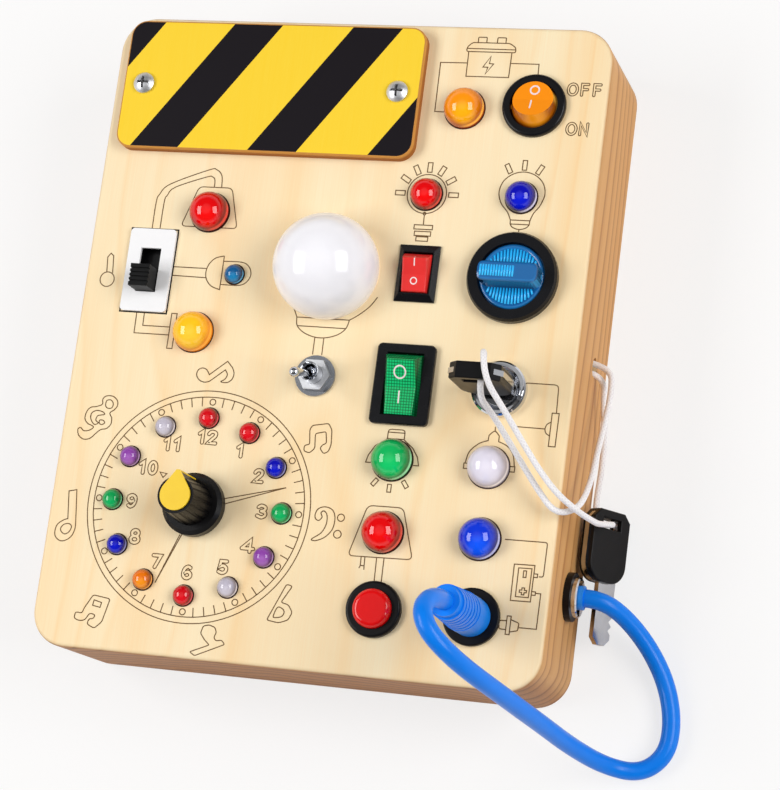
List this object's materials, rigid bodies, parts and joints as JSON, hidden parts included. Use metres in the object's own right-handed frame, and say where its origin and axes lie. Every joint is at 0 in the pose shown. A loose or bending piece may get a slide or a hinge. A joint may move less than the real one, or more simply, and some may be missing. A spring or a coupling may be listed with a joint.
{
  "type": "wooden busy board",
  "caption": "Rounded wooden activity board with slide, rocker, rotary and toggle switches, key lock, push button, globe lamp, lamp clock with selector knob and a plug-in patch cable.",
  "frame": {"origin": "centre of the flat back face, on the surface that the board lies on", "axes": "+X to the right across the face, +Y up the face, +Z out of the front face"},
  "size_m": [0.2314, 0.2622, 0.1146],
  "materials": {
    "birch_wood": "sanded light wood, clear oiled",
    "back_panel_wood": "sanded thin panel",
    "plate_wood": "painted yellow and black stripes on wood",
    "screw_steel": "zinc-plated",
    "black_plastic": "moulded",
    "slider_black": "moulded, ribbed",
    "bezel_black": "satin moulded",
    "white_plastic": "smooth",
    "cell_sleeve": "plain sleeve",
    "amber_lens": "translucent amber",
    "red_rocker_plastic": "glossy red",
    "green_rocker_lens": "translucent green with a fine grid",
    "rotary_blue_lens": "translucent blue",
    "bright_metal": "bright plated",
    "lock_chrome": "polished",
    "lock_rotor_metal": "turned",
    "key_metal": "plated",
    "key_black": "moulded",
    "push_cap_red": "glossy red",
    "circuit_board": "solder mask",
    "shaft_aluminium": "turned",
    "knob_black": "satin moulded",
    "knob_cap_yellow": "smooth",
    "globe_frosted": "frosted white",
    "lamp_red": "diffused red",
    "lamp_blue": "diffused blue",
    "lamp_yellow": "diffused yellow",
    "lamp_amber": "diffused amber",
    "lamp_green": "diffused green",
    "lamp_white": "diffused white",
    "lamp_purple": "diffused purple",
    "lamp_orange": "diffused orange",
    "plug_blue": "moulded",
    "collar_blue": "moulded",
    "terminal_brass": "plain",
    "cable_blue": "satin jacket",
    "cord_white": "braided white"
  },
  "bodies": {
    "panel": {"wood_body": "birch_wood", "back_cover": "back_panel_wood", "back_cover_screws": "screw_steel", "battery_cover_plate": "plate_wood", "plate_screws": "screw_steel", "battery_holder": "black_plastic", "batteries": "cell_sleeve", "slide_switch_plate": "white_plastic", "slide_switch_body": "black_plastic", "round_rocker_bezel": "bezel_black", "red_rocker_bezel": "bezel_black", "green_rocker_bezel": "bezel_black", "rotary_switch_bezel": "bezel_black", "toggle_body": "bright_metal", "toggle_washer": "bright_metal", "toggle_nut": "bright_metal", "key_switch_body": "lock_chrome", "key_switch_nut": "screw_steel", "spare_key_blade": "key_metal", "spare_key_head": "key_black", "push_button_body": "bezel_black", "push_button_spring": "screw_steel", "clock_board": "circuit_board", "selector_body": "black_plastic", "selector_nut": "bright_metal", "globe_lamp": "globe_frosted", "globe_holder": "black_plastic", "lamps_red": "lamp_red", "lamps_blue": "lamp_blue", "lamp_yellow": "lamp_yellow", "lamp_amber": "lamp_amber", "lamp_green": "lamp_green", "lamp_white": "lamp_white", "clock_lamps_red": "lamp_red", "clock_lamps_blue": "lamp_blue", "clock_lamps_green": "lamp_green", "clock_lamps_purple": "lamp_purple", "clock_lamps_white": "lamp_white", "clock_lamp_orange": "lamp_orange", "front_socket": "bezel_black", "side_gland": "bezel_black", "gland_nut": "lock_chrome", "cable_collar": "collar_blue", "switch_terminals": "terminal_brass", "patch_cable": "cable_blue", "key_cord": "cord_white"},
    "slider": {"slide_switch_knob": "slider_black"},
    "round_rocker": {"round_rocker_button": "amber_lens"},
    "red_rocker": {"red_rocker_button": "red_rocker_plastic"},
    "green_rocker": {"green_rocker_button": "green_rocker_lens"},
    "rotary_knob": {"rotary_switch_knob": "rotary_blue_lens"},
    "toggle_lever": {"toggle_lever": "bright_metal"},
    "lock_key": {"key_switch_rotor": "lock_rotor_metal", "front_key_blade": "key_metal", "front_key_head": "key_black"},
    "push_cap": {"push_button_cap": "push_cap_red"},
    "selector": {"selector_shaft": "shaft_aluminium", "selector_knob": "knob_black", "selector_cap": "knob_cap_yellow"},
    "plug": {"cable_plug": "plug_blue"}
  },
  "joints": [
    {"name": "slide_switch_travel", "type": "slide", "parent": "panel", "child": "slider", "axis": [0, 1, 0], "range_m": [0, 0.008]},
    {"name": "round_rocker_swing", "type": "hinge", "parent": "panel", "child": "round_rocker", "pos_m": [0.0684, 0.0901, 0.0487], "axis": [1, 0, 0], "range_deg": [0, 30]},
    {"name": "red_rocker_swing", "type": "hinge", "parent": "panel", "child": "red_rocker", "pos_m": [0.033, 0.0256, 0.0492], "axis": [1, 0, 0], "range_deg": [-30, 0]},
    {"name": "green_rocker_swing", "type": "hinge", "parent": "panel", "child": "green_rocker", "pos_m": [0.0332, -0.0154, 0.0487], "axis": [1, 0, 0], "range_deg": [-30, 0]},
    {"name": "rotary_turn", "type": "hinge", "parent": "panel", "child": "rotary_knob", "pos_m": [0.0684, 0.0258, 0.05], "axis": [0, 0, 1], "range_deg": [0, 90]},
    {"name": "toggle_swing", "type": "hinge", "parent": "panel", "child": "toggle_lever", "pos_m": [0, -0.0143, 0.0545], "axis": [1, 0, 0], "range_deg": [-24, 0]},
    {"name": "key_turn", "type": "hinge", "parent": "panel", "child": "lock_key", "pos_m": [0.0686, -0.0148, 0.05], "axis": [0, 0, 1], "range_deg": [-90, 0], "deforming": ["key_cord"]},
    {"name": "push_travel", "type": "slide", "parent": "panel", "child": "push_cap", "axis": [0, 0, 1], "range_m": [-0.003, 0], "stiffness_N_per_m": 400, "springref_m": 0.002, "deforming": ["push_button_spring"]},
    {"name": "selector_turn", "type": "hinge", "parent": "panel", "child": "selector", "pos_m": [-0.0381, -0.065, 0.05], "axis": [0, 0, 1], "range_deg": [-330, 0]},
    {"name": "plug_pull", "type": "slide", "parent": "panel", "child": "plug", "axis": [0, 0, 1], "range_m": [0, 0.02], "deforming": ["patch_cable"]}
  ]
}
